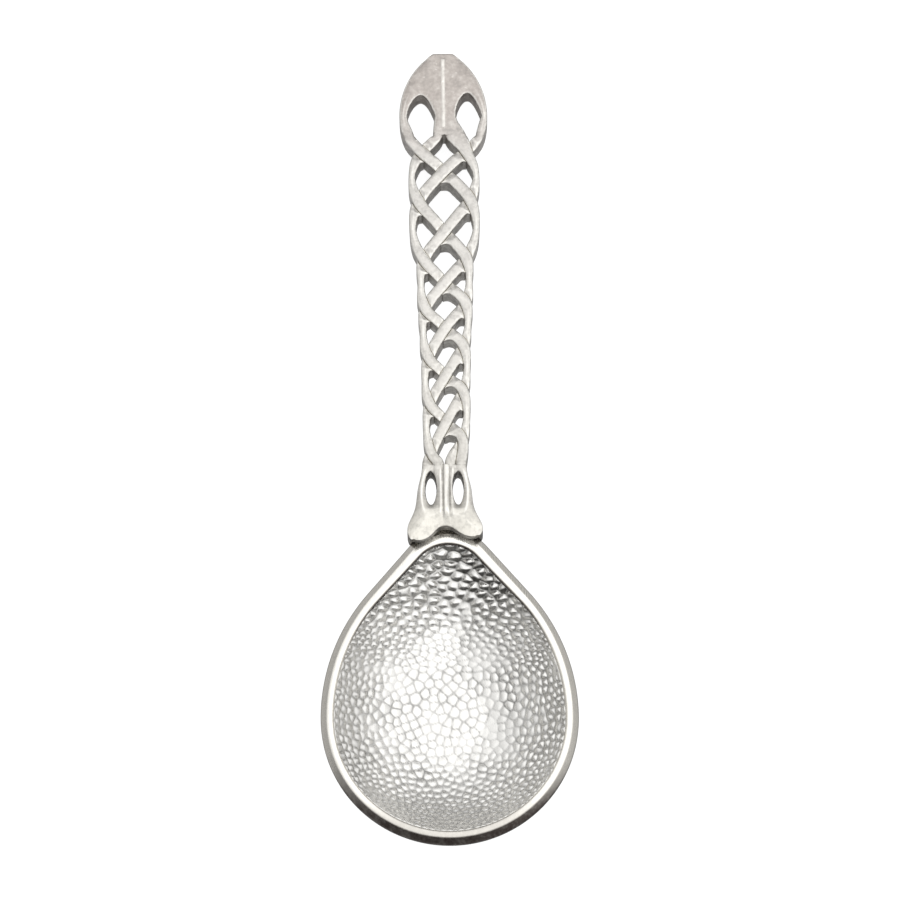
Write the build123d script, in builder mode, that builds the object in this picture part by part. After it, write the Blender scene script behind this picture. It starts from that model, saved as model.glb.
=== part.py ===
from build123d import *
import math
import os

# A love spoon in cast pewter, lying on its back on a table.
# A pear-shaped bowl with a bead for a rim, a forked shoulder lapped over the rim,
# a handle plaited from four strands that are half-lapped where they cross,
# and a leaf finial with two eyes, whose tip rests on the table.
# Millimetres. +X is to the right, +Y runs from the bowl to the finial, +Z is up,
# and the origin is the centre of the flat foot under the bowl.

# Bowl and rim
rim_top = 10.5  # height of the rim above the table
rim_height = 2.0
rim_width = 2.2
rim_overhang = 0.5  # how far the rim stands out past the shell
rim_outer_round = 1.1
rim_inner_round = 0.5
tip_radius = 21.1  # round tip end, and half of the widest line
flank_run = 10.5  # straight stretch of each side, up to the neck
neck_radius = 8.5  # round end under the shoulder
neck_reach = 30.4  # from the foot's centre to the back of the rim
widest_offset = 1.4  # from the foot's centre to the widest line, towards the tip
foot_width = 13.2  # flat foot, across
floor_width = 11.4  # flat floor inside, across
floor_thickness = 1.6
wall_lean = 35.0  # degrees from upright along the shell's curve, at the rim
bowl_layers = 7  # outlines that the shell's curve passes through

# Handle, measured from the back of the rim along its slope
bar_depth = 3.6  # thickness of strands, shoulder and finial
resting_length = 6.4  # length of the finial's tip that lies flat on the table

# Shoulder
shoulder_length = 9.9  # from the back of the rim to the plait
shoulder_shift = -0.45  # sideways from the middle line
waist_reach = 4.45
waist_height = 5.6
hip_reach = 5.1
hip_height = 1.8
lobe_reach = 6.2
lobe_lap = 1.5  # from the back of the rim to the lobes' widest place, towards the bowl
lobe_end_reach = 4.9
lobe_end_laps = (3.4, 2.75)  # left, right
fork_reach = 2.5
fork_laps = (2.65, 2.0)  # left, right
fork_top_lap = 0.6
lobe_slope_height = 2.0  # from here the lobes slope down to their ends
lobe_end_thickness = 2.2
oval_spacing = 4.5
oval_height = 5.85
oval_width = 1.85
oval_length = 5.8
heel_length = 2.6  # heel that hangs behind the rim
heel_depth = 1.8

# Plait, given from the finial down to the shoulder
head_gap = 3.0  # from the finial's joint to the first row of side crossings
row_pitches = (9.3, 11.0, 8.8, 8.5, 8.4, 8.9)
foot_gap = 3.4  # from the last row to the shoulder's joint
row_spreads = (3.75, 4.35, 3.55, 3.35, 2.9, 2.75, 2.6)  # side crossing to middle line
row_skews = (0.1, 0.3, 0.3, 1.0, 2.1, 2.3, 2.3)  # right crossing above the left by this
bulge_reaches = (6.05, 5.95, 4.65, 4.35, 4.1, 3.95)  # outer edge between two rows
middle_lifts = (0.9, -0.4, -0.1, 0.1, -0.15, 0.0)  # middle crossing above the middle of its cell
first_row_width = 2.1  # strand width at the first row
last_row_width = 1.75  # strand width at the last row
bulge_width = 1.15
finial_lanes = (-6.0, -0.95, 2.1, 6.25)
finial_lane_widths = (1.8, 1.5, 3.5, 1.35)
finial_lane_turn = 0.6  # slope at the finial against the slope to the first crossing
shoulder_lane_pitch = 1.85
shoulder_lane_width = 1.8
span_steps = 2  # outline points from one place of a strand to the next
lap_window = 9.0  # length of handle, about a crossing, in which its lap is cut
dip_depth = 0.35  # how far a strand dips where it passes under
dip_length = 4.6
web_spans = (0.9, 2.1)  # width of the rounded top of an opening, below a side and a middle crossing
web_rise = 0.25  # height of that round against its width
web_bite = 0.3  # how far a web reaches into its strands
web_tuck = 0.06  # how far inside its strands the round starts
web_reach = 4.0  # lowest place for a web, below its crossing
web_step = 0.05

# Finial, measured up from its joint with the plait or down from its tip
finial_length = 15.85
leaf_tip_width = 3.4
leaf_shoulder_reach = 4.95
leaf_shoulder_drop = 3.3
leaf_reach = 7.55
leaf_reach_drop = 12.1
left_eye_edges = (-6.15, -1.6)
left_eye_top = (-3.75, 7.9)
right_eye_edges = (2.15, 6.4)
right_eye_top = (4.2, 8.25)
eye_edge_height = 4.4
crotch_height = 0.4

# Middle ridge of the finial and the shoulder
ridge_width = 0.8
ridge_height = 0.3
ridge_gap = 1.2  # left plain at each end of a ridge

strand_names = (
    "strand_outer_left",
    "strand_inner_left",
    "strand_inner_right",
    "strand_outer_right",
)
half_depth = bar_depth / 2
lobe_end = max(lobe_end_laps)
dip_radius = (dip_length**2 / 4 + dip_depth**2) / (2 * dip_depth)
shell_top = rim_top - rim_height
neck_rise = neck_reach - neck_radius + widest_offset  # from the tip arc's centre to the neck arc's
flank_square = tip_radius**2 - neck_radius**2 + neck_rise**2 - flank_run**2
flank_radius = flank_square / (tip_radius - neck_radius) / 2
plait_foot = shoulder_length
plait_head = plait_foot + foot_gap + sum(row_pitches) + head_gap
handle_length = plait_head + finial_length
handle_drop = math.asin(rim_top / (handle_length - resting_length))
handle_normal = (0, math.sin(handle_drop), math.cos(handle_drop))
handle_underside = Plane(origin=(0, neck_reach, rim_top), x_dir=(1, 0, 0), z_dir=handle_normal)
shoulder_origin = (shoulder_shift, neck_reach, rim_top)
shoulder_underside = Plane(origin=shoulder_origin, x_dir=(1, 0, 0), z_dir=handle_normal)
handle = handle_underside.offset(half_depth)
up_handle = handle.y_dir
along_handle = Plane(origin=handle_underside.origin, x_dir=up_handle, z_dir=(1, 0, 0))


def pear(inset, size):
    """The bowl's outline, drawn in by inset and then scaled about the foot's centre."""
    tip_centre = (0, -widest_offset * size)
    neck_centre = (0, (neck_reach - neck_radius) * size)
    flank_x = (flank_radius - tip_radius) * size
    flank_size = (flank_radius - inset) * size
    bend = math.degrees(math.atan2(neck_rise, flank_radius - tip_radius))
    bend -= math.degrees(math.atan2(flank_run, flank_radius - neck_radius))
    with BuildSketch() as outline:
        with BuildLine():
            CenterArc(tip_centre, (tip_radius - inset) * size, 180, 180)
            right = CenterArc((-flank_x, tip_centre[1]), flank_size, 0, bend)
            neck = CenterArc(neck_centre, (neck_radius - inset) * size, bend, 180 - 2 * bend)
            left = CenterArc((flank_x, tip_centre[1]), flank_size, 180 - bend, bend)
            Line(right @ 1, neck @ 0)
            Line(neck @ 1, left @ 0)
        make_face()
    return outline.sketch


def hull(inset, drop, flat_width):
    """A bowl-shaped solid below the rim: pear outlines that shrink round an ellipse to a flat."""
    start = math.radians(wall_lean)
    end = math.acos(flat_width / 2 / (tip_radius - inset) * math.cos(start))
    full_drop = drop / (math.sin(end) - math.sin(start))
    with BuildPart() as solid:
        for layer in range(bowl_layers):
            angle = start + (end - start) * layer / (bowl_layers - 1)
            sunk = full_drop * (math.sin(angle) - math.sin(start))
            with BuildSketch(Plane.XY.offset(shell_top - sunk)):
                add(pear(inset, math.cos(angle) / math.cos(start)))
        loft()
    return solid.part


def blend(start, end, share):
    """An even swing from start to end."""
    return start + (end - start) * (1 - math.cos(math.pi * share)) / 2


def plait_routes():
    """For each strand, its places from the finial down: height, side, width and level."""
    routes = [[(plait_head, x, w, 0)] for x, w in zip(finial_lanes, finial_lane_widths)]
    laps = []
    lanes = [0, 1, 2, 3]
    height = plait_head - head_gap
    last = len(row_spreads) - 1
    for row, spread in enumerate(row_spreads):
        width = first_row_width + (last_row_width - first_row_width) * row / last
        for first, side in ((0, -1), (2, 1)):
            place = height + side * row_skews[row] / 2
            over, under = lanes[first], lanes[first + 1]
            routes[over].append((place, side * spread, width, 1))
            routes[under].append((place, side * spread, width, -1))
            laps.append((over, under, side * spread, place))
            lanes[first], lanes[first + 1] = under, over
        if row == last:
            break
        skew = (row_skews[row] + row_skews[row + 1]) / 2
        middle = height - row_pitches[row] / 2
        for lane, side in ((0, -1), (3, 1)):
            reach = bulge_reaches[row] - bulge_width / 2
            routes[lanes[lane]].append((middle + side * skew / 2, side * reach, bulge_width, 0))
        over, under = lanes[2], lanes[1]
        place = middle + middle_lifts[row]
        routes[over].append((place, 0, width, 1))
        routes[under].append((place, 0, width, -1))
        laps.append((over, under, 0, place))
        lanes[1], lanes[2] = over, under
        height -= row_pitches[row]
    for lane, strand in enumerate(lanes):
        place = shoulder_shift + (lane - 1.5) * shoulder_lane_pitch
        routes[strand].append((plait_foot, place, shoulder_lane_width, 0))
    return routes, laps


def slopes(route):
    """Sideways slope of a strand at each of its places: none at a bulge or at the shoulder."""
    found = [finial_lane_turn * (route[1][1] - route[0][1]) / (route[1][0] - route[0][0])]
    for before, here, after in zip(route, route[1:], route[2:]):
        turned = here[3] == 0
        found.append(0 if turned else (after[1] - before[1]) / (after[0] - before[0]))
    return found + [0]


def strand_at(route, height):
    """Middle and width of a strand across the handle at a height."""
    k = max(0, sum(stop[0] > height for stop in route) - 1)
    here, after = route[k], route[k + 1]
    slope, next_slope = slopes(route)[k : k + 2]
    run = after[0] - here[0]
    t = (height - here[0]) / run
    side = (
        (2 * t**3 - 3 * t**2 + 1) * here[1]
        + (t**3 - 2 * t**2 + t) * run * slope
        + (3 * t**2 - 2 * t**3) * after[1]
        + (t**3 - t**2) * run * next_slope
    )
    heading = (
        (6 * t**2 - 6 * t) * (here[1] - after[1]) / run
        + (3 * t**2 - 4 * t + 1) * slope
        + (3 * t**2 - 2 * t) * next_slope
    )
    return side, blend(here[2], after[2], t) * math.hypot(1, heading)


def strand_stations(route):
    """Height, side and width across the handle at every outline point of a strand."""
    heights = [route[0][0]]
    for here, after in zip(route, route[1:]):
        for step in range(1, span_steps + 1):
            heights.append(here[0] + (after[0] - here[0]) * step / span_steps)
    return [(height, *strand_at(route, height)) for height in heights]


def ribbon(route):
    """A strand's outline, seen square to the handle."""
    stations = strand_stations(route)
    with BuildSketch() as outline:
        with BuildLine():
            left = Spline([(side - width / 2, height) for height, side, width in stations])
            right = Spline([(side + width / 2, height) for height, side, width in stations])
            Line(left @ 0, right @ 0)
            Line(left @ 1, right @ 1)
        make_face()
    return outline.sketch


def lap_patch(outline, height):
    """The stretch of a strand's outline about a crossing."""
    with BuildSketch() as patch:
        add(outline)
        with Locations((0, height)):
            Rectangle(2 * leaf_reach, lap_window, mode=Mode.INTERSECT)
    return patch.sketch


def web(pair, side, height):
    """The web between two strands below their crossing, with a rounded lower edge."""
    left, right = sorted(pair, key=lambda route: strand_at(route, height - web_step)[0])
    span = web_spans[side == 0]
    foot = height
    gap = 0
    while gap < span and height - foot < web_reach:
        if gap <= 0:
            corner = (side, foot + web_bite)
        foot -= web_step
        left_side, left_width = strand_at(left, foot)
        right_side, right_width = strand_at(right, foot)
        left_edge = left_side + left_width / 2
        right_edge = right_side - right_width / 2
        gap = right_edge - left_edge
    with BuildSketch() as patch:
        with BuildLine():
            brow = ThreePointArc(
                (left_edge - web_tuck, foot),
                ((left_edge + right_edge) / 2, foot + web_rise * gap),
                (right_edge + web_tuck, foot),
            )
            left_bite = (left_edge - web_bite, foot)
            right_bite = (right_edge + web_bite, foot)
            Polyline(brow @ 0, left_bite, corner, right_bite, brow @ 1)
        make_face()
    return patch.sketch


def dip_axis(route, side, height, face):
    """Axis of the round dip in a strand's upper (1) or lower (-1) face, square to the strand."""
    place = [stop[0] for stop in route].index(height)
    centre = handle.from_local_coords((side, height, face * (half_depth - dip_depth + dip_radius)))
    return Plane(origin=centre, z_dir=handle.x_dir - up_handle * slopes(route)[place])


def across_handle(side, height, lift):
    """A plane across the handle whose own y runs along the handle's normal."""
    centre = handle.from_local_coords((side, height, lift))
    return Plane(origin=centre, x_dir=(1, 0, 0), z_dir=-up_handle)


os.makedirs("parts", exist_ok=True)

with BuildPart() as spoon_bowl:
    add(hull(rim_overhang, shell_top, foot_width))
    add(hull(rim_width, shell_top - floor_thickness, floor_width), mode=Mode.SUBTRACT)
spoon_bowl.part.label = "spoon_bowl"
export_step(spoon_bowl.part, "parts/spoon_bowl.step")

with BuildPart() as bowl_rim:
    with BuildSketch(Plane.XY.offset(shell_top)):
        add(pear(0, 1))
        add(pear(rim_width, 1), mode=Mode.SUBTRACT)
    extrude(amount=rim_height)
    inner_loop, outer_loop = bowl_rim.faces().sort_by(Axis.Z)[-1].wires().sort_by(SortBy.LENGTH)
    fillet(outer_loop.edges(), rim_outer_round)
    inner_loop, outer_loop = bowl_rim.faces().sort_by(Axis.Z)[-1].wires().sort_by(SortBy.LENGTH)
    fillet(inner_loop.edges(), rim_inner_round)
bowl_rim.part.label = "bowl_rim"
export_step(bowl_rim.part, "parts/bowl_rim.step")

with BuildSketch(shoulder_underside) as fork:
    with BuildLine():
        flanks = []
        for side, lobe_end_lap, fork_lap in zip((-1, 1), lobe_end_laps, fork_laps):
            flank = Spline(
                (side * shoulder_lane_pitch * 2, shoulder_length),
                (side * waist_reach, waist_height),
                (side * hip_reach, hip_height),
                (side * lobe_reach, -lobe_lap),
                (side * lobe_end_reach, -lobe_end_lap),
                (side * fork_reach, -fork_lap),
                (0, -fork_top_lap),
                tangents=((0, -1), (-side, 0)),
            )
            flanks.append(flank)
        Line(flanks[0] @ 0, flanks[1] @ 0)
    make_face()

with BuildPart() as shoulder:
    with BuildSketch(shoulder_underside):
        add(fork.sketch_local)
        with Locations((0, heel_length)):
            Rectangle(4 * lobe_reach, 4 * lobe_reach, align=(Align.CENTER, Align.MAX), mode=Mode.INTERSECT)
    extrude(amount=-heel_depth)
    with BuildSketch():
        add(pear(0, 1))
    extrude(amount=rim_top, mode=Mode.SUBTRACT)
    with BuildSketch(shoulder_underside):
        add(fork.sketch_local)
        with Locations((-oval_spacing / 2, oval_height), (oval_spacing / 2, oval_height)):
            Ellipse(oval_width / 2, oval_length / 2, mode=Mode.SUBTRACT)
    extrude(amount=bar_depth)
    with BuildSketch(along_handle):
        Polygon(
            (lobe_slope_height, bar_depth),
            (-lobe_end, lobe_end_thickness),
            (-2 * lobe_end, bar_depth),
            align=None,
        )
    extrude(amount=2 * lobe_reach, both=True, mode=Mode.SUBTRACT)
    with BuildSketch(across_handle(shoulder_shift, lobe_slope_height, half_depth)):
        Polygon((-ridge_width / 2, 0), (ridge_width / 2, 0), (0, ridge_height), align=None)
    extrude(amount=-(shoulder_length - lobe_slope_height))
shoulder.part.label = "shoulder"
export_step(shoulder.part, "parts/shoulder.step")

routes, laps = plait_routes()
open_laps = laps[:-2]  # no opening lies below the last row
ribbons = [ribbon(route) for route in routes]
for strand_number, strand_name in enumerate(strand_names):
    with BuildSketch() as outline:
        for over, under, side, height in open_laps:
            if strand_number == under:
                add(web((routes[over], routes[under]), side, height))
                add(lap_patch(ribbons[over], height), mode=Mode.SUBTRACT)
        add(ribbons[strand_number])

    with BuildPart() as strand:
        with BuildSketch(handle):
            add(outline.sketch)
            for over, under, side, height in laps:
                if strand_number == under:
                    add(lap_patch(ribbons[over], height), mode=Mode.SUBTRACT)
        extrude(amount=half_depth)
        with BuildSketch(handle):
            add(outline.sketch)
            for over, under, side, height in laps:
                if strand_number == over:
                    add(lap_patch(ribbons[under], height), mode=Mode.SUBTRACT)
        extrude(amount=-half_depth)
        for over, under, side, height in laps:
            if strand_number in (over, under):
                face = 1 if strand_number == under else -1
                with Locations(dip_axis(routes[strand_number], side, height, face)):
                    Cylinder(dip_radius, 2 * first_row_width, mode=Mode.SUBTRACT)
    strand.part.label = strand_name
    export_step(strand.part, f"parts/{strand_name}.step")

with BuildPart() as finial:
    legs = []
    for route in routes:
        height, side, width = strand_stations(route)[0]
        legs.append((side - width / 2, side + width / 2))
    leaf_top = plait_head + finial_length
    with BuildSketch(handle_underside):
        with BuildLine():
            tip = Line((-leaf_tip_width / 2, leaf_top), (leaf_tip_width / 2, leaf_top))
            right_edge = Spline(
                tip @ 1,
                (leaf_shoulder_reach, leaf_top - leaf_shoulder_drop),
                (leaf_reach, leaf_top - leaf_reach_drop),
                (legs[3][1], plait_head),
            )
            left_edge = Spline(
                tip @ 0,
                (-leaf_shoulder_reach, leaf_top - leaf_shoulder_drop),
                (-leaf_reach, leaf_top - leaf_reach_drop),
                (legs[0][0], plait_head),
            )
            Line(left_edge @ 1, right_edge @ 1)
        make_face()
        for left_leg, right_leg, eye_edges, eye_top in (
            (0, 1, left_eye_edges, left_eye_top),
            (2, 3, right_eye_edges, right_eye_top),
        ):
            with BuildLine():
                left_foot, right_foot = legs[left_leg][1], legs[right_leg][0]
                eye = Spline(
                    (left_foot, plait_head),
                    (eye_edges[0], plait_head + eye_edge_height),
                    (eye_top[0], plait_head + eye_top[1]),
                    (eye_edges[1], plait_head + eye_edge_height),
                    (right_foot, plait_head),
                    tangents=(
                        (eye_edges[0] - left_foot, eye_edge_height),
                        (right_foot - eye_edges[1], -eye_edge_height),
                    ),
                )
                Line(eye @ 1, eye @ 0)
            make_face(mode=Mode.SUBTRACT)
        with BuildLine():
            Polyline(
                (legs[1][1], plait_head),
                ((legs[1][1] + legs[2][0]) / 2, plait_head + crotch_height),
                (legs[2][0], plait_head),
                close=True,
            )
        make_face(mode=Mode.SUBTRACT)
    extrude(amount=bar_depth)
    with BuildSketch(across_handle(0, plait_head + crotch_height + ridge_gap, half_depth)):
        Polygon((-ridge_width / 2, 0), (ridge_width / 2, 0), (0, ridge_height), align=None)
    extrude(amount=-(finial_length - crotch_height - 2 * ridge_gap))
    split(bisect_by=Plane.XY, keep=Keep.TOP)
finial.part.label = "finial"
export_step(finial.part, "parts/finial.step")
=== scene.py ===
import bisect
import itertools
import math
import random

import bpy
import numpy as np
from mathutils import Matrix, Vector, kdtree, noise


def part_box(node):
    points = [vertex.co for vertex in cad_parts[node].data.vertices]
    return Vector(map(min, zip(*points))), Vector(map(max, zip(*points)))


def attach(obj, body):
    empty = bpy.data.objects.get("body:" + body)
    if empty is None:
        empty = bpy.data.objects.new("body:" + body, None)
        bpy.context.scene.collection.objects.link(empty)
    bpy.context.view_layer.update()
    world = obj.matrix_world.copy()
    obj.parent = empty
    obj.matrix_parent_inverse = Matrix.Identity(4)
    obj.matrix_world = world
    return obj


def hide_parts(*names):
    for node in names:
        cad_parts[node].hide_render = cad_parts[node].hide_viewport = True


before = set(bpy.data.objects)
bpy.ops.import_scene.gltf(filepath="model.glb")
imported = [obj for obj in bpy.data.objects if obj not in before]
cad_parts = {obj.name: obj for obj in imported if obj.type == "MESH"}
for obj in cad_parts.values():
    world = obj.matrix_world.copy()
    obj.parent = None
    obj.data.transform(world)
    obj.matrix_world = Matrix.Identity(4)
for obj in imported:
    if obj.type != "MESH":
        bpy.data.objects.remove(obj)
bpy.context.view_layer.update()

# A love spoon in cast pewter, dressed over its CAD solids. Lengths are metres.
MM = 0.001

# Bowl and rim, where the frame doesn't give the size
RIM_WIDTH = 2.2 * MM
RIM_OVERHANG = 0.5 * MM
RIM_INNER_BEVEL = (0.5 * MM, 4, 0.5)  # size, segments and profile
RIM_OUTER_BEVEL = (1.15 * MM, 5, 0.27)
FLANK_RUN = 10.5 * MM
NECK_RADIUS = 8.5 * MM
FOOT_WIDTH = 13.2 * MM
FLOOR_WIDTH = 11.4 * MM
FLOOR_THICKNESS = 1.6 * MM
SHELL_COLLAR = 0.2 * MM  # how far the shell's outer face climbs inside the rim
WALL_LEAN = math.radians(35.0)  # of the bowl's curve from upright, at the rim
NECK_LIP = 0.6 * MM  # the rim is wider by this at the neck

rim_low, rim_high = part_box("bowl_rim")
RIM_TOP = rim_high.z
SHELL_TOP = rim_low.z
TIP_RADIUS = rim_high.x
WIDEST_Y = rim_low.y + TIP_RADIUS
NECK_Y = rim_high.y - NECK_RADIUS
NECK_RISE = NECK_Y - WIDEST_Y
FLANK_SQUARES = TIP_RADIUS**2 - NECK_RADIUS**2 + NECK_RISE**2 - FLANK_RUN**2
FLANK_RADIUS = FLANK_SQUARES / (TIP_RADIUS - NECK_RADIUS) / 2
NECK_BEARING = math.atan2(NECK_RISE, FLANK_RADIUS - TIP_RADIUS)
FLANK_BEND = NECK_BEARING - math.atan2(FLANK_RUN, FLANK_RADIUS - NECK_RADIUS)

# How finely the bowl and the rim are divided
OUTLINE_RAYS = 720
PROFILE_STEPS = 40
BOWL_COLUMNS = 112
INNER_CUTS = 9
OUTER_CUTS = 2
RIM_STEPS = 420
RIM_SLACK = 0.01 * MM  # a vertex this close to the rim's top belongs to its upper edges

# Painted shade on the bowl's back and the rim, and a painted highlight, partly wear, on the rim's crest, as
# shares. Facing is a share of the normal.
BACK_SHADE_AND_OXIDE = 0.5
SIDE_FACING = (0.1, 0.6)  # upwards, from a side to a top
RIM_INNER_SHADE = 0.3  # painted shade on the inner wall, where the outer flank has all
RIM_TIP_ZONE = (12 * MM, 20 * MM)  # towards the tip
# painted shade over the whole rim towards the tip
RIM_TIP_SHADE = 0.3
RIM_TIP_DULLING = 0.8  # share of the crest's painted highlight that is missing there
RIM_FRONT_FACING = (0.2, 0.6)  # towards the tip
# painted shade on faces that look towards the tip
RIM_FRONT_SHADE = 0.92
RIM_CREST_FACING = (0.8, 0.97)  # upwards, where the crest gets its painted highlight

# Zones of the bowl's inner face: where the wall, the tip and the neck begin and are reached
WALL_ZONE = (2.5 * MM, 7 * MM)  # heights
TIP_ZONE = (8 * MM, 17 * MM)
NECK_ZONE = (13 * MM, 21 * MM)
SIDE_ZONE = (8 * MM, 16 * MM)  # to the left or the right

# Pebbles inside the bowl
PEBBLE_SEED = 11
PEBBLE_COLLAR = 1.3 * MM  # how far the pebbles climb inside the rim
PEBBLE_SKIN = 0.08 * MM  # pebbled metal in front of the rim's inner wall
PEBBLE_PITCH = 1.2 * MM  # least distance between two middles, on the floor
PITCH_ON_WALL = -0.12  # shares of it that are added on the wall, at the tip and at the neck
PITCH_AT_TIP = -0.15
PITCH_AT_NECK = 0.3
PITCH_TIP_ZONE = (2 * MM, 17 * MM)
PITCH_NECK_ZONE = (12 * MM, 24 * MM)  # on the drawn-out face
PEBBLE_CELL = 1.5 * PEBBLE_PITCH  # boxes in which the middles are looked up
DRAWN_FROM = 8 * MM  # the face is drawn out from here to the neck
DRAWN_SHARE = 0.5
BOLDNESS = (0.5, 1.2)  # least and most, drawn by lot
WORN_SHARE = 0.5  # change of boldness from patch to patch
WORN_PATCH = 5.0 * MM  # size of the patches where the pebbles are more or less worn
PEBBLE_HEIGHT = (0.15, 0.23, 0.3, 0.65)  # in mm on the floor, more on wall and neck, share lost at the tip
GAP_SHADE_AND_PATINA = (0.6, -0.2, 0.5, 0.5)  # painted shade, partly patina, between the pebbles: a share, in the same order
GAP_RISE = (0.0, 0.4)  # of a pebble's height, from gap to flank
GAP_FADE = 0.5  # share of the gaps' painted shade that is missing at the neck
DOME_END = 0.97  # of the way to the next pebble
DOME_SHORTER = 0.07  # by which a dome ends sooner on the wall and at the neck
LEFT_WALL_SHADE = 0.28  # least painted shade on the left and right wall
RIGHT_WALL_SHADE = 0.1
UNDER_FACING = (0.45, 0.7)  # towards the tip, on the neck's pebbles, which are given painted shade there
UNDER_TURN = (-4 * MM, 4 * MM)  # from left to right
UNDER_LEFT = 0.6  # painted shade under the neck's pebbles on the left, where the right has all

# Handle
HANDLE_SLOPE = math.radians(7.48)
BAR_DEPTH = 3.6 * MM
HANDLE_FOOT = Vector((0, rim_high.y, rim_high.z))  # on the underside, at the back of the rim
HANDLE_UP = Vector((0, math.sin(HANDLE_SLOPE), math.cos(HANDLE_SLOPE)))
HANDLE_ALONG = Vector((0, math.cos(HANDLE_SLOPE), -math.sin(HANDLE_SLOPE)))
HANDLE_VOXEL = 0.14 * MM
WELD = 0.002 * MM  # vertices closer than this are one
END_SLACK = 0.02 * MM  # a face this close to a strand's end belongs to it
JOINT_LAP = 0.5 * MM  # how far a strand runs on into the pieces that hold its ends
JOINT_DRAW = 0.75  # its width there
CAST_SMOOTHING = 7
LEAF_SMOOTHING = 4
STRAND_SOFT = (0.9 * MM, 0.22 * MM)  # how far in from a strand's edge its top falls away, and by how much
LEAF_SOFT = (2.2 * MM, 0.30 * MM)  # the same at the leaf's upper end
LOBE_SOFT = (3.2 * MM, 1.3 * MM)  # and on the lobes
TOP_FACING = 0.4  # a normal's upward share, on a top at least
END_FACING = 0.6  # and its share along the handle, on an end face
RIDGE_WORN = 0.55  # share of the leaf's ridge that is worn off
SHOULDER_LENGTH = 9.9 * MM
SHOULDER_MIDDLE = -0.45 * MM
LOBE_DRAW = 0.06  # share by which the lobes' front is drawn back
LOBE_LEAN = 0.2  # how much more it is drawn back at its foot
LOBE_SEAT = (NECK_RADIUS - 0.7 * MM, NECK_RADIUS + 0.1 * MM)  # from the neck's centre: there the lean ends
LANE_PITCH = 1.85 * MM  # strands side by side at the shoulder
LANE_RUN_OUT = 3.2 * MM  # how far the grooves between them run on
RIB_START = (-0.6 * MM, 1.5 * MM)
RIB_MIDDLE = -0.1 * MM
RIB_HALF = 0.6 * MM
RIB_HEIGHT = 0.22 * MM
RIB_GROOVE = 0.14 * MM
GROOVE_PLACE = 0.7 * MM  # from the rib's middle
GROOVE_HALF = 0.24 * MM

# Painted shade, partly patina, on the handle's sides and dips, and a painted highlight, partly wear, on its
# edges and what stands proud. Rise is against the mesh's width, and facing upwards.
SIDE_END = (0.7, 1.0)  # share of the bar's depth where the painted shade on its sides ends
LOBE_FRONT_SHADE = 0.85  # painted shade on the lobes' front, where it is strongest
LOBE_ZONE = (-2 * MM, 3 * MM)  # along the handle, behind that front
LOBE_LESS = 0.15
PLAIT_ZONE = (8 * MM, 13 * MM)  # along the handle, where the plait begins
PLAIT_LESS = 0.5
CLEAR_OF_END = (0.3 * MM, 1.0 * MM)
DIP_RISE = (0.02, 0.09)
# painted shade, partly patina, in the dips
DIP_SHADE_AND_PATINA = 0.3
# painted highlight, partly wear, on edges that stand out and face upwards
EDGE_RISE = (0.015, 0.07)
EDGE_FACING = (0.2, 0.6)
PROUD_HEIGHT = (0.01 * MM, 0.07 * MM)  # above the bar
# painted highlight, partly wear, on what stands proud
PROUD_WEAR_AND_HIGHLIGHT = 0.8
SPREAD_PASSES = 3

# Pewter: scales are per metre
SCRATCH_TURN = (0, 0, 0.5)
SCRATCH_SCALE = (6000, 420, 900)
GRAIN_SCALE = 4200
CLOUD_SCALE = 560
SPECK_SCALE = 1900
FLECK_SCALE = 1300
BUMP_DISTANCE = 0.00006
BUMP_STRENGTH = 0.6

# Camera: metres, degrees and millimetres of lens
CAMERA_AIM = (0.00052, 0.0450, 0.0060)
CAMERA_DISTANCE = 0.700
CAMERA_ELEVATION = 74.0
CAMERA_ROLL = -0.63
CAMERA_LENS = 167.5
SENSOR_WIDTH = 36.0

# Floor and light
FLOOR_SIZE = 3.0
PAPER_SHADE = (0.3, 0.3, 0.3, 1)
PAPER_ROUGHNESS = 0.9
PAPER_GLOW = 0.9
GLOW_IN_METAL = 0.22  # share of the glow that reaches anything but the camera
DOME_RISE = (-0.05, 0.65, 0.55, 1.4)  # upward share of a direction from and to, and the light there
DIMMED_SIDES = (  # direction, share of it from and to, and what is left of the light
    ((0, -1, 0), 0.62, 0.94, 0.05),
    ((-0.7, -0.7, 0), 0.7, 0.95, 0.3),
    ((0, 1, 0), 0.7, 0.98, 0.5),
    ((-1, 0, 0), 0.0, 0.95, 0.58),
    ((1, 0, 0), 0.5, 0.95, 0.85),
)


def select_only(piece):
    """Leave one object selected and active."""
    bpy.ops.object.select_all(action="DESELECT")
    piece.select_set(True)
    bpy.context.view_layer.objects.active = piece


def deselect_mesh(kind):
    """Leave nothing selected in the active mesh, and choose what is selected next."""
    bpy.ops.object.mode_set(mode="EDIT")
    bpy.ops.mesh.select_mode(type=kind)
    bpy.ops.mesh.select_all(action="DESELECT")
    bpy.ops.object.mode_set(mode="OBJECT")


def apply_modifier(piece, kind, **settings):
    """Add a modifier to a piece and apply it."""
    select_only(piece)
    modifier = piece.modifiers.new(kind.lower(), kind)
    for name, value in settings.items():
        setattr(modifier, name, value)
    bpy.ops.object.modifier_apply(modifier=modifier.name)


def ramp(value, low, high):
    """0 below low, 1 above high, and a soft rise between them."""
    share = max(0, min(1, (value - low) / (high - low)))
    return share * share * (3 - 2 * share)


def search_tree(spots):
    """A tree that finds the nearest of some places."""
    tree = kdtree.KDTree(len(spots))
    for k, spot in enumerate(spots):
        tree.insert(spot, k)
    tree.balance()
    return tree


def mark(piece, recess, wear):
    """Keep each vertex's painted shade (partly patina) and its painted highlight (partly wear), from 0 to 1,
    for the materials.
    """
    for name, values in (("recess", recess), ("wear", wear)):
        attribute = piece.data.attributes.new(name, "FLOAT", "POINT")
        attribute.data.foreach_set("value", values)


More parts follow.
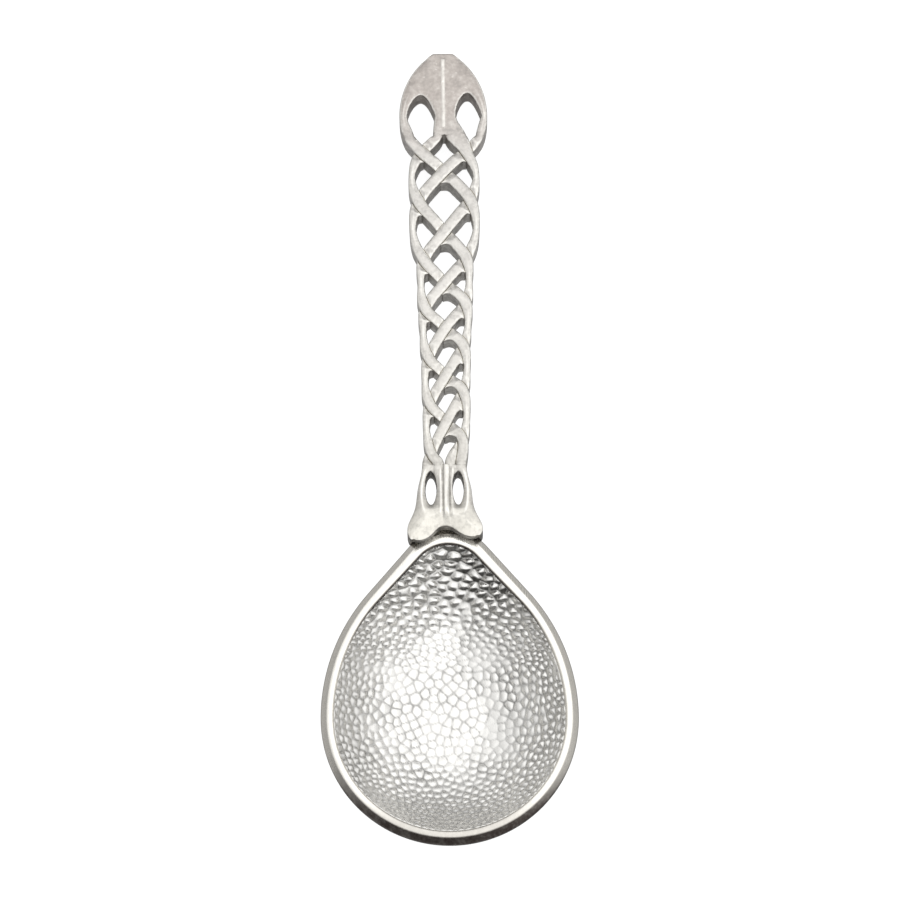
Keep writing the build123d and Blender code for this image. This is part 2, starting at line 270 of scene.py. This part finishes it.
def dress(piece, node, material):
    """Hang a finished piece on the spoon in place of its CAD node."""
    select_only(piece)
    bpy.ops.object.shade_smooth()
    piece.data.materials.clear()
    piece.data.materials.append(material)
    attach(piece, "root")
    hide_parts(node)


# Bowl and rim


def neck_lip(y):
    """How much further in the rim's inner edge lies, towards the neck."""
    return NECK_LIP * ramp(y, NECK_Y - NECK_RADIUS, NECK_Y + NECK_RADIUS - RIM_WIDTH)


def pear_point(inset, share):
    """A point of the bowl's outline, drawn in by inset, at a share of the way round from the tip."""
    if share > 0.5:
        x, y = pear_point(inset, 1 - share)
        return -x, y
    tip, flank, neck = TIP_RADIUS - inset, FLANK_RADIUS - inset, NECK_RADIUS - inset
    tip_run = tip * math.pi / 2
    flank_run = flank * FLANK_BEND
    neck_run = neck * (math.pi / 2 - FLANK_BEND)
    run = 2 * share * (tip_run + flank_run + FLANK_RUN + neck_run)
    if run < tip_run:
        turn = run / tip - math.pi / 2
        return tip * math.cos(turn), WIDEST_Y + tip * math.sin(turn)
    run -= tip_run
    turn = min(run / flank, FLANK_BEND)
    if run < flank_run + FLANK_RUN:
        straight = max(0, run - flank_run)
        return (
            TIP_RADIUS - FLANK_RADIUS + flank * math.cos(turn) - straight * math.sin(turn),
            WIDEST_Y + flank * math.sin(turn) + straight * math.cos(turn),
        )
    turn = FLANK_BEND + (run - flank_run - FLANK_RUN) / neck
    return neck * math.cos(turn), NECK_Y + neck * math.sin(turn)


class Skin:
    """One face of the bowl: pear outlines that shrink round an ellipse from the rim to a flat."""

    def __init__(self, inset, drop, flat_width, collar):
        self.inset = inset
        rays = []
        for k in range(OUTLINE_RAYS):
            x, y = pear_point(inset, k / OUTLINE_RAYS)
            if inset > RIM_WIDTH / 2:  # inside the rim, so along its lip
                y -= neck_lip(y)
            rays.append((math.atan2(y, x), math.hypot(x, y)))
        rays.sort()
        rays.insert(0, (rays[-1][0] - 2 * math.pi, rays[-1][1]))
        rays.append((rays[1][0] + 2 * math.pi, rays[1][1]))
        self.turns = [ray[0] for ray in rays]
        self.radii = [ray[1] for ray in rays]
        bend = math.acos(flat_width / 2 / (TIP_RADIUS - inset) * math.cos(WALL_LEAN))
        full_drop = (drop + collar) / (math.sin(bend) - math.sin(WALL_LEAN))
        self.profile = [(0, SHELL_TOP - drop)]
        for k in range(PROFILE_STEPS + 1):
            angle = bend + (WALL_LEAN - bend) * k / PROFILE_STEPS
            sunk = full_drop * (math.sin(angle) - math.sin(WALL_LEAN))
            self.profile.append((math.cos(angle) / math.cos(WALL_LEAN), SHELL_TOP + collar - sunk))
        self.runs = [0.0]
        for (size, height), (next_size, next_height) in zip(self.profile, self.profile[1:]):
            across = (next_size - size) * (TIP_RADIUS - inset)
            self.runs.append(self.runs[-1] + math.hypot(across, next_height - height))

    def reach(self, turn):
        """Distance from the foot's centre to the outline in one direction."""
        k = bisect.bisect_right(self.turns, turn) - 1
        share = (turn - self.turns[k]) / (self.turns[k + 1] - self.turns[k])
        return self.radii[k] + share * (self.radii[k + 1] - self.radii[k])

    def point(self, turn, run):
        """A point of the skin, by its direction and its run from the centre."""
        k = min(bisect.bisect_right(self.runs, run), len(self.runs) - 1) - 1
        share = (run - self.runs[k]) / (self.runs[k + 1] - self.runs[k])
        (size, height), (next_size, next_height) = self.profile[k], self.profile[k + 1]
        radius = (size + share * (next_size - size)) * self.reach(turn)
        z = height + share * (next_height - height)
        return Vector((radius * math.cos(turn), radius * math.sin(turn), z))


def pear_ring(name, inset, count):
    """A closed ring of vertices on the bowl's outline."""
    bpy.ops.object.select_all(action="DESELECT")
    bpy.ops.mesh.primitive_circle_add(vertices=count, radius=TIP_RADIUS)
    ring = bpy.context.object
    ring.name = name
    for k, vertex in enumerate(ring.data.vertices):
        vertex.co = (*pear_point(inset, k / count), SHELL_TOP)
    return ring


def pear_skin(name, skin, cuts):
    """A bowl's face: a ring filled with a grid of squares, cut finer and sunk to the skin's shape."""
    piece = pear_ring(name, skin.inset, BOWL_COLUMNS)
    select_only(piece)
    bpy.ops.object.mode_set(mode="EDIT")
    bpy.ops.mesh.select_all(action="SELECT")
    bpy.ops.mesh.fill_grid(span=BOWL_COLUMNS // 4, offset=BOWL_COLUMNS // 8)
    bpy.ops.mesh.subdivide(number_cuts=cuts)
    bpy.ops.object.mode_set(mode="OBJECT")
    for vertex in piece.data.vertices:
        turn = math.atan2(vertex.co.y, vertex.co.x)
        share = min(1, math.hypot(vertex.co.x, vertex.co.y) / skin.reach(turn))
        vertex.co = skin.point(turn, share * skin.runs[-1])
    return piece


def drawn_out(spot):
    """A place on the bowl's face, drawn out towards the neck, where the pebbles are broader than long."""
    return spot + Vector((0, DRAWN_SHARE * max(0, spot.y - DRAWN_FROM), 0))


def pebble_seeds(spots):
    """Middles of the pebbles: places on the bowl's face, drawn by lot, that keep their distance."""
    cells = {}
    for spot in random.Random(PEBBLE_SEED).sample(spots, len(spots)):
        cell = [int(value // PEBBLE_CELL) for value in spot]
        around = itertools.product(*((value - 1, value, value + 1) for value in cell))
        near = (seed for place in around for seed in cells.get(place, ()))
        tip = ramp(-spot.y, *PITCH_TIP_ZONE)
        neck = ramp(spot.y, *PITCH_NECK_ZONE)
        wall = ramp(spot.z, *WALL_ZONE) * (1 - neck)
        pitch = PEBBLE_PITCH * (1 + PITCH_ON_WALL * wall + PITCH_AT_TIP * tip + PITCH_AT_NECK * neck)
        if all((seed - spot).length > pitch for seed in near):
            cells.setdefault(tuple(cell), []).append(spot)
    return [seed for seeds in cells.values() for seed in seeds]


def in_zones(amounts, wall, neck, tip):
    """A measure at one place in the bowl: its amount on the floor, changed by the zones."""
    floor, wall_more, neck_more, tip_less = amounts
    return (floor + wall_more * wall + neck_more * neck) * (1 - tip_less * tip)


def raise_pebbles(piece):
    """Swell the bowl's inner face into pebbles: worn low on the floor, bold at the neck, faint at the tip."""
    spots = [vertex.co.copy() for vertex in piece.data.vertices]
    normals = [vertex.normal.copy() for vertex in piece.data.vertices]
    seeds = pebble_seeds([drawn_out(spot) for spot in spots])
    tree = search_tree(seeds)
    draw = random.Random(PEBBLE_SEED)
    boldness = [draw.uniform(*BOLDNESS) + WORN_SHARE * noise.noise(seed / WORN_PATCH) for seed in seeds]
    recess = []
    necks = []
    for vertex, spot, normal in zip(piece.data.vertices, spots, normals):
        (_, k, near), (_, _, next_near) = tree.find_n(drawn_out(spot), 2)
        outward = 2 * near / (near + next_near)
        neck = ramp(spot.y, *NECK_ZONE)
        tip = ramp(-spot.y, *TIP_ZONE)
        wall = ramp(spot.z, *WALL_ZONE)
        rise = 1 - min(1, outward / (DOME_END - DOME_SHORTER * max(neck, wall))) ** 2
        height = in_zones(PEBBLE_HEIGHT, wall, neck, tip) * boldness[k] * MM
        vertex.co += normal * (rise - 0.5) * height
        # painted shade, partly patina, in the gaps between the pebbles
        depth = in_zones(GAP_SHADE_AND_PATINA, wall, neck, tip) * boldness[k]
        # painted shade on the left and right walls
        sides = LEFT_WALL_SHADE * ramp(-spot.x, *SIDE_ZONE) + RIGHT_WALL_SHADE * ramp(spot.x, *SIDE_ZONE)
        recess.append(max(wall * sides, (1 - ramp(rise, *GAP_RISE)) * min(1, depth)))
        necks.append(neck)
    apply_modifier(piece, "SMOOTH", factor=0.5, iterations=2)
    # painted shade on the faces of the neck's pebbles that look towards the tip, darker on the right
    for vertex, neck in zip(piece.data.vertices, necks):
        across = UNDER_LEFT + (1 - UNDER_LEFT) * ramp(vertex.co.x, *UNDER_TURN)
        under = neck * ramp(-vertex.normal.y, *UNDER_FACING) * across
        recess[vertex.index] = max(recess[vertex.index] * (1 - GAP_FADE * neck), under)
    mark(piece, recess, [0.0] * len(recess))


def make_bowl(material):
    """The bowl: a pebbled inner face and a plain outer face, closed along the edge inside the rim."""
    inner_skin = Skin(RIM_WIDTH + PEBBLE_SKIN, SHELL_TOP - FLOOR_THICKNESS, FLOOR_WIDTH, PEBBLE_COLLAR)
    outer_skin = Skin(RIM_OVERHANG, SHELL_TOP, FOOT_WIDTH, SHELL_COLLAR)
    bowl = pear_skin("bowl_shell", inner_skin, INNER_CUTS)
    raise_pebbles(bowl)
    back = pear_skin("bowl_back", outer_skin, OUTER_CUTS)
    count = len(back.data.vertices)
    # painted shade on the bowl's outer face, standing in for dark reflections, partly oxide on the unpolished
    # metal
    mark(back, [BACK_SHADE_AND_OXIDE] * count, [0.0] * count)
    select_only(back)
    bpy.ops.object.mode_set(mode="EDIT")
    bpy.ops.mesh.select_all(action="SELECT")
    bpy.ops.mesh.flip_normals()
    bpy.ops.object.mode_set(mode="OBJECT")
    select_only(bowl)
    back.select_set(True)
    bpy.ops.object.join()
    bpy.ops.object.mode_set(mode="EDIT")
    bpy.ops.mesh.select_mode(type="EDGE")
    bpy.ops.mesh.select_all(action="DESELECT")
    bpy.ops.mesh.select_non_manifold()
    bpy.ops.mesh.bridge_edge_loops()
    bpy.ops.object.mode_set(mode="OBJECT")
    dress(bowl, "spoon_bowl", material)


def bevel_ring(piece, chosen, size, segments, profile):
    """Round over the edges whose two vertices are both chosen."""
    deselect_mesh("VERT")
    for vertex in piece.data.vertices:
        vertex.select = chosen(vertex.co)
    bpy.ops.object.mode_set(mode="EDIT")
    bpy.ops.mesh.select_mode(type="EDGE")
    bpy.ops.mesh.bevel(offset=size, segments=segments, profile=profile)
    bpy.ops.object.mode_set(mode="OBJECT")


def make_rim(material):
    """The rim: a band round the outline, wider at the neck, raised and rounded over at both edges."""
    middle = Skin(RIM_WIDTH / 2, SHELL_TOP, FOOT_WIDTH, 0)

    def outside(point):
        return math.hypot(point.x, point.y) > middle.reach(math.atan2(point.y, point.x))

    def on_outer_edge(point):
        return point.z > RIM_TOP - RIM_SLACK and outside(point)

    def on_inner_edge(point):
        return point.z > RIM_TOP - RIM_SLACK and not outside(point)

    rim = pear_ring("rim_bead", 0, RIM_STEPS)
    select_only(rim)
    bpy.ops.object.mode_set(mode="EDIT")
    bpy.ops.mesh.select_all(action="SELECT")
    bpy.ops.mesh.edge_face_add()
    bpy.ops.mesh.inset(thickness=RIM_WIDTH)
    bpy.ops.mesh.delete(type="FACE")
    bpy.ops.mesh.select_all(action="SELECT")
    bpy.ops.mesh.extrude_region_move(TRANSFORM_OT_translate={"value": (0, 0, RIM_TOP - SHELL_TOP)})
    bpy.ops.mesh.select_all(action="SELECT")
    bpy.ops.mesh.normals_make_consistent(inside=False)
    bpy.ops.object.mode_set(mode="OBJECT")
    for vertex in rim.data.vertices:
        if not outside(vertex.co):
            vertex.co.y -= neck_lip(vertex.co.y)
    bevel_ring(rim, on_inner_edge, *RIM_INNER_BEVEL)
    bevel_ring(rim, on_outer_edge, *RIM_OUTER_BEVEL)
    recess = []
    wear = []
    for vertex in rim.data.vertices:
        # painted shade on the rim's upright faces, over the rim towards the tip, and on faces that look
        # towards the tip
        flank = 1 - ramp(vertex.normal.z, *SIDE_FACING)
        if not outside(vertex.co):
            flank *= RIM_INNER_SHADE
        front = RIM_FRONT_SHADE * ramp(-vertex.normal.y, *RIM_FRONT_FACING)
        tip = ramp(-vertex.co.y, *RIM_TIP_ZONE)
        recess.append(max(flank, RIM_TIP_SHADE * tip, front))
        # painted highlight, partly wear, on the upward-facing crest, less towards the tip
        wear.append(ramp(vertex.normal.z, *RIM_CREST_FACING) * (1 - RIM_TIP_DULLING * tip))
    mark(rim, recess, wear)
    dress(rim, "bowl_rim", material)


# Handle


def along(point):
    """How far up the handle a point lies, from the back of the rim."""
    return (point - HANDLE_FOOT).dot(HANDLE_ALONG)


def above(point):
    """How far a point lies above the handle's underside."""
    return (point - HANDLE_FOOT).dot(HANDLE_UP)


def run_on(piece, end, way):
    """Draw a strand's end on into the piece that holds it, a little narrower."""
    mesh = piece.data
    select_only(piece)
    deselect_mesh("FACE")
    corners = []
    for face in mesh.polygons:
        face.select = all(abs(along(mesh.vertices[k].co) - end) < END_SLACK for k in face.vertices)
        if face.select:
            corners += [mesh.vertices[k].co.copy() for k in face.vertices]
    middle = sum(corners, Vector()) / len(corners)
    bpy.ops.object.mode_set(mode="EDIT")
    bpy.ops.mesh.extrude_region_move(TRANSFORM_OT_translate={"value": HANDLE_ALONG * way * JOINT_LAP})
    bpy.ops.transform.resize(value=(JOINT_DRAW, 1, 1), center_override=middle)
    bpy.ops.object.mode_set(mode="OBJECT")


def shape_shoulder(piece):
    """Lean the lobes' front back, raise the rib, and let the grooves between the strands run out."""
    reach, fall = STRAND_SOFT
    for vertex in piece.data.vertices:
        run = along(vertex.co)
        height = above(vertex.co)
        under = 1 - max(0, min(1, height / BAR_DEPTH))
        from_neck = math.hypot(vertex.co.x, vertex.co.y - NECK_Y)
        over_rim = 1 - ramp(from_neck, *LOBE_SEAT)
        vertex.co += HANDLE_ALONG * max(0, -run) * over_rim * (LOBE_DRAW + LOBE_LEAN * under)
        if height < BAR_DEPTH / 2 or vertex.normal.dot(HANDLE_UP) < TOP_FACING:
            continue
        aside = abs(vertex.co.x - RIB_MIDDLE)
        rib = RIB_HEIGHT * max(0, 1 - (aside / RIB_HALF) ** 2)
        groove = RIB_GROOVE * max(0, 1 - ((aside - GROOVE_PLACE) / GROOVE_HALF) ** 2)
        between = abs(abs(vertex.co.x - SHOULDER_MIDDLE) - LANE_PITCH)
        run_out = ramp(run, SHOULDER_LENGTH - LANE_RUN_OUT, SHOULDER_LENGTH)
        split = fall * (1 - min(1, between / reach)) ** 2 * run_out
        vertex.co += HANDLE_UP * (rib - groove) * ramp(run, *RIB_START)
        vertex.co -= HANDLE_UP * (split + max(0, height - BAR_DEPTH))


def flatten_ridge(piece):
    """Wear the leaf's middle ridge down to a low swell."""
    for vertex in piece.data.vertices:
        vertex.co -= HANDLE_UP * RIDGE_WORN * max(0, above(vertex.co) - BAR_DEPTH)


def round_over(piece, held, low_soft, high_soft):
    """Let a handle piece's top fall away towards its edges; soft is reach and fall at its two ends."""
    spots = [Vector((vertex.co.x, along(vertex.co), 0)) for vertex in piece.data.vertices]
    low = min(spot.y for spot in spots)
    high = max(spot.y for spot in spots)
    edge = []
    for vertex, spot in zip(piece.data.vertices, spots):
        at_joint = any(abs(spot.y - end) < 2 * JOINT_LAP for end in held)
        end_face = at_joint and abs(vertex.normal.dot(HANDLE_ALONG)) > END_FACING
        upright = abs(vertex.normal.dot(HANDLE_UP)) < TOP_FACING
        if upright and not end_face and above(vertex.co) > BAR_DEPTH / 2:
            edge.append(spot)
    tree = search_tree(edge)
    for vertex, spot in zip(piece.data.vertices, spots):
        share = (above(vertex.co) / BAR_DEPTH - 0.5) * 2
        if share > 0:
            _, _, distance = tree.find(spot)
            up = ramp(spot.y, low, high)
            reach, fall = (a + (b - a) * up for a, b in zip(low_soft, high_soft))
            vertex.co -= HANDLE_UP * fall * share * (1 - min(1, distance / reach)) ** 2


def standing_out(piece):
    """How far each vertex of a handle piece stands out from its neighbours, against the mesh's width."""
    mesh = piece.data
    mesh.update()
    count = len(mesh.vertices)
    spots, normals = np.empty(count * 3), np.empty(count * 3)
    mesh.vertices.foreach_get("co", spots)
    mesh.vertices.foreach_get("normal", normals)
    pairs = np.empty(len(mesh.edges) * 2, dtype=np.int32)
    mesh.edges.foreach_get("vertices", pairs)
    one, other = pairs.reshape(-1, 2).T
    meeting = np.bincount(pairs, minlength=count)

    def around(values):
        total = np.bincount(one, weights=values[other], minlength=count)
        return (total + np.bincount(other, weights=values[one], minlength=count)) / meeting

    out = sum((spots[k::3] - around(spots[k::3])) * normals[k::3] for k in range(3))
    for _ in range(SPREAD_PASSES):
        out = (out + around(out)) / 2
    return out / HANDLE_VOXEL


def paint_handle_shade_and_wear(piece, held):
    """Give a handle piece painted shade, partly patina, on its sides and dips, and a painted highlight,
    partly wear, on its upward-facing edges and what stands proud.
    """
    recess = []
    wear = []
    for vertex, rise in zip(piece.data.vertices, standing_out(piece)):
        facing = vertex.normal.dot(HANDLE_UP)
        run = along(vertex.co)
        height = above(vertex.co)
        # painted shade, partly patina, on the side walls, fading upwards and further up the handle
        wall = (1 - ramp(facing, *SIDE_FACING)) * (1 - ramp(height / BAR_DEPTH, *SIDE_END))
        wall *= LOBE_FRONT_SHADE - LOBE_LESS * ramp(run, *LOBE_ZONE) - PLAIT_LESS * ramp(run, *PLAIT_ZONE)
        clear = min((ramp(abs(run - end), *CLEAR_OF_END) for end in held), default=1)
        # painted shade, partly patina, in the dips
        recess.append(max(wall, DIP_SHADE_AND_PATINA * clear * ramp(-rise, *DIP_RISE)))
        # painted highlight, partly wear, on what stands proud and on upward-facing edges that stand out
        proud = PROUD_WEAR_AND_HIGHLIGHT * ramp(height - BAR_DEPTH, *PROUD_HEIGHT)
        wear.append(max(proud, clear * ramp(rise, *EDGE_RISE) * ramp(facing, *EDGE_FACING)))
    mark(piece, recess, wear)


def cast_piece(name, node, material, flat_ends, smoothing, low_soft, high_soft):
    """A handle piece with the soft edges of a casting, from its CAD solid."""
    piece = bpy.data.objects.new(name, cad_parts[node].data.copy())
    bpy.context.scene.collection.objects.link(piece)
    select_only(piece)
    bpy.ops.object.mode_set(mode="EDIT")
    bpy.ops.mesh.select_all(action="SELECT")
    bpy.ops.mesh.remove_doubles(threshold=WELD)
    bpy.ops.object.mode_set(mode="OBJECT")
    runs = [along(vertex.co) for vertex in piece.data.vertices]
    ends = {"low": (min(runs), -1), "high": (max(runs), 1)}
    held = [ends[end][0] for end in flat_ends]
    if node.startswith("strand"):
        for end, way in ends.values():
            run_on(piece, end, way)
    apply_modifier(piece, "REMESH", mode="VOXEL", voxel_size=HANDLE_VOXEL)
    apply_modifier(piece, "SMOOTH", factor=0.5, iterations=smoothing)
    if node == "shoulder":
        shape_shoulder(piece)
    if node == "finial":
        flatten_ridge(piece)
    round_over(piece, held, low_soft, high_soft)
    paint_handle_shade_and_wear(piece, held)
    dress(piece, node, material)


# Materials


def add_node(tree, kind, settings=(), **sockets):
    """Add a shader node, set its properties and its inputs; a socket as a value is linked."""
    node = tree.nodes.new(kind)
    for name, value in dict(settings).items():
        setattr(node, name, value)
    for name, value in sockets.items():
        key = int(name[1:]) if name[1:].isdigit() else name.replace("_", " ")
        if isinstance(value, bpy.types.NodeSocket):
            tree.links.new(value, node.inputs[key])
        else:
            node.inputs[key].default_value = value
    return node


def pewter_group():
    """Shared finish: mottled metal with a fine grain, painted shade (partly patina) where its mask is set,
    and bright edges that are partly wear and partly painted highlight.
    """
    group = bpy.data.node_groups.new("pewter_finish_and_shade", "ShaderNodeTree")
    for name in ("Metal", "Tarnish", "Worn"):
        group.interface.new_socket(name, in_out="INPUT", socket_type="NodeSocketColor")
    for name in ("Recess", "Wear", "Roughness", "Mottle", "Grain"):
        group.interface.new_socket(name, in_out="INPUT", socket_type="NodeSocketFloat")
    group.interface.new_socket("Color", in_out="OUTPUT", socket_type="NodeSocketColor")
    group.interface.new_socket("Roughness", in_out="OUTPUT", socket_type="NodeSocketFloat")
    group.interface.new_socket("Height", in_out="OUTPUT", socket_type="NodeSocketFloat")
    given = group.nodes.new("NodeGroupInput").outputs
    where = group.nodes.new("ShaderNodeTexCoord").outputs["Object"]

    def sums(operation, first, second, third=0.0, clamp=False):
        settings = {"operation": operation, "use_clamp": clamp}
        return add_node(group, "ShaderNodeMath", settings, _0=first, _1=second, _2=third).outputs[0]

    def speckle(scale, detail, place=where):
        return add_node(group, "ShaderNodeTexNoise", Vector=place, Scale=scale, Detail=detail).outputs[0]

    def spread(value, low, high, least, most):
        return add_node(
            group, "ShaderNodeMapRange", Value=value, From_Min=low, From_Max=high, To_Min=least, To_Max=most
        ).outputs[0]

    def blend(share, first, second):
        settings = {"data_type": "RGBA"}
        return add_node(group, "ShaderNodeMix", settings, _0=share, _6=first, _7=second).outputs[2]

    scratch_place = add_node(
        group, "ShaderNodeMapping", Vector=where, Rotation=SCRATCH_TURN, Scale=SCRATCH_SCALE
    ).outputs[0]
    scratches = speckle(1, 2, scratch_place)
    grain = speckle(GRAIN_SCALE, 3)
    clouds = spread(speckle(CLOUD_SCALE, 4), 0.35, 0.65, -0.5, 0.5)
    specks = spread(speckle(SPECK_SCALE, 2), 0.3, 0.7, -0.5, 0.5)
    flecks = spread(speckle(FLECK_SCALE, 1), 0.66, 0.76, 0.0, 0.8)

    patches = sums("MULTIPLY", sums("ADD", clouds, specks), given["Mottle"])
    depth = sums("ADD", given["Recess"], patches, clamp=True)
    fleck = sums("MULTIPLY", flecks, given["Mottle"])
    pale = sums("MULTIPLY_ADD", patches, -0.8, fleck, clamp=True)
    bright = sums("MULTIPLY_ADD", given["Wear"], spread(clouds, -0.5, 0.5, 0.45, 1.0), pale, clamp=True)
    # painted shade, partly patina, blended in where its mask is set
    shaded_and_aged = blend(depth, given["Metal"], given["Tarnish"])
    # painted highlight, partly wear, blended in where its mask is set
    colour = blend(bright, shaded_and_aged, given["Worn"])
    dull = sums("MULTIPLY_ADD", depth, 0.2, given["Roughness"])
    rough = sums("MULTIPLY_ADD", scratches, 0.12, dull)
    relief = sums("MULTIPLY_ADD", scratches, 0.5, grain)
    height = sums("MULTIPLY", relief, given["Grain"])
    add_node(group, "NodeGroupOutput", Color=colour, Roughness=rough, Height=height)
    return group


def pewter(name, finish_and_shade, metals, tarnish, worn, roughness, mottle, grain):
    """A pewter material; metals are its colours by their place along the spoon, in metres."""
    material = bpy.data.materials.new(name)
    material.use_nodes = True
    tree = material.node_tree
    shader = tree.nodes["Principled BSDF"]
    shader.inputs["Metallic"].default_value = 1
    recess = add_node(tree, "ShaderNodeAttribute", {"attribute_name": "recess"})
    wear = add_node(tree, "ShaderNodeAttribute", {"attribute_name": "wear"})
    first, last = metals[0][0], metals[-1][0]
    group = add_node(
        tree, "ShaderNodeGroup", {"node_tree": finish_and_shade}, Metal=(*metals[0][1], 1), Tarnish=(*tarnish, 1),
        Worn=(*worn, 1), Recess=recess.outputs["Fac"], Wear=wear.outputs["Fac"], Roughness=roughness,
        Mottle=mottle, Grain=grain,
    )
    if last > first:
        where = add_node(tree, "ShaderNodeTexCoord").outputs["Object"]
        axes = add_node(tree, "ShaderNodeSeparateXYZ", Vector=where)
        place = add_node(tree, "ShaderNodeMapRange", Value=axes.outputs["Y"], From_Min=first, From_Max=last)
        shades = add_node(tree, "ShaderNodeValToRGB", Fac=place.outputs[0])
        stops = shades.color_ramp.elements
        for spot, _ in metals[1:-1]:
            stops.new((spot - first) / (last - first))
        for stop, (_, metal) in zip(stops, metals):
            stop.color = (*metal, 1)
        tree.links.new(shades.outputs["Color"], group.inputs["Metal"])
    bump = add_node(
        tree, "ShaderNodeBump", Height=group.outputs["Height"], Distance=BUMP_DISTANCE, Strength=BUMP_STRENGTH
    )
    tree.links.new(group.outputs["Color"], shader.inputs["Base Color"])
    tree.links.new(group.outputs["Roughness"], shader.inputs["Roughness"])
    tree.links.new(bump.outputs[0], shader.inputs["Normal"])
    return material


# Studio


def add_camera():
    """Stand the camera at the bowl's end, looking down on the spoon."""
    tilt = math.radians(90 - CAMERA_ELEVATION)
    back = Vector((0, -math.sin(tilt), math.cos(tilt)))
    bpy.ops.object.camera_add(location=Vector(CAMERA_AIM) + CAMERA_DISTANCE * back)
    camera = bpy.context.object
    camera.name = "studio_camera"
    camera.rotation_mode = "ZYX"
    camera.rotation_euler = (tilt, 0, math.radians(CAMERA_ROLL))
    camera.data.lens = CAMERA_LENS
    camera.data.sensor_width = SENSOR_WIDTH
    bpy.context.scene.camera = camera


def add_floor():
    """White paper that looks evenly lit, and doesn't glare in the metal."""
    bpy.ops.object.select_all(action="DESELECT")
    bpy.ops.mesh.primitive_plane_add(size=FLOOR_SIZE, location=(0, 0, 0))
    floor = bpy.context.object
    floor.name = "floor"
    material = bpy.data.materials.new("white_paper")
    material.use_nodes = True
    tree = material.node_tree
    shader = tree.nodes["Principled BSDF"]
    shader.inputs["Base Color"].default_value = PAPER_SHADE
    shader.inputs["Roughness"].default_value = PAPER_ROUGHNESS
    shader.inputs["Specular IOR Level"].default_value = 0.0
    shader.inputs["Emission Strength"].default_value = PAPER_GLOW
    path = add_node(tree, "ShaderNodeLightPath")
    seen = path.outputs["Is Camera Ray"]
    glow = add_node(tree, "ShaderNodeMapRange", Value=seen, To_Min=GLOW_IN_METAL, To_Max=1.0)
    tree.links.new(glow.outputs[0], shader.inputs["Emission Color"])
    floor.data.materials.append(material)


def add_light():
    """A soft white dome, brightest overhead, dimmer at the sides and low behind, dark low down in front."""
    world = bpy.data.worlds.new("studio")
    world.use_nodes = True
    tree = world.node_tree
    where = add_node(tree, "ShaderNodeTexCoord").outputs["Generated"]

    def shade(way, low, high, least, most):
        toward = add_node(tree, "ShaderNodeVectorMath", {"operation": "DOT_PRODUCT"}, _0=where, _1=way)
        return add_node(
            tree, "ShaderNodeMapRange", {"interpolation_type": "SMOOTHSTEP"}, Value=toward.outputs["Value"],
            From_Min=low, From_Max=high, To_Min=least, To_Max=most,
        ).outputs[0]

    light = shade((0, 0, 1), *DOME_RISE)
    for way, low, high, left in DIMMED_SIDES:
        dimmed = shade(way, low, high, 1.0, left)
        light = add_node(tree, "ShaderNodeMath", {"operation": "MULTIPLY"}, _0=light, _1=dimmed).outputs[0]
    background = tree.nodes["Background"]
    tree.links.new(light, background.inputs["Strength"])
    background.inputs["Color"].default_value = (1, 1, 1, 1)
    bpy.context.scene.world = world
    bpy.context.scene.view_settings.view_transform = "Standard"


finish_and_shade = pewter_group()
cast_shades = (
    (0.030, (0.76, 0.735, 0.67)),
    (0.036, (0.60, 0.58, 0.54)),
    (0.070, (0.66, 0.64, 0.605)),
    (0.097, (0.61, 0.59, 0.56)),
    (0.106, (0.465, 0.425, 0.395)),
)
cast = pewter(
    "cast_pewter", finish_and_shade, cast_shades, tarnish=(0.16, 0.155, 0.15), worn=(0.93, 0.91, 0.86),
    roughness=0.30, mottle=0.3, grain=1.0,
)
bright = pewter(
    "bright_pewter", finish_and_shade, ((0, (0.80, 0.77, 0.71)),), tarnish=(0.06, 0.045, 0.04), worn=(0.93, 0.91, 0.86),
    roughness=0.20, mottle=0.08, grain=0.6,
)
pebbled = pewter(
    "pebbled_pewter", finish_and_shade, ((0, (0.82, 0.81, 0.785)),), tarnish=(0.10, 0.097, 0.093), worn=(0.9, 0.9, 0.9),
    roughness=0.20, mottle=0.06, grain=0.4,
)

make_bowl(pebbled)
make_rim(bright)
cast_piece("finial_leaf", "finial", cast, ("low", "high"), LEAF_SMOOTHING, STRAND_SOFT, LEAF_SOFT)
cast_piece("shoulder_fork", "shoulder", cast, ("high",), CAST_SMOOTHING, LOBE_SOFT, STRAND_SOFT)
for side in ("outer_left", "inner_left", "inner_right", "outer_right"):
    strand = f"strand_{side}"
    cast_piece(f"plait_{side}", strand, cast, ("low", "high"), CAST_SMOOTHING, STRAND_SOFT, STRAND_SOFT)

add_camera()
add_floor()
add_light()
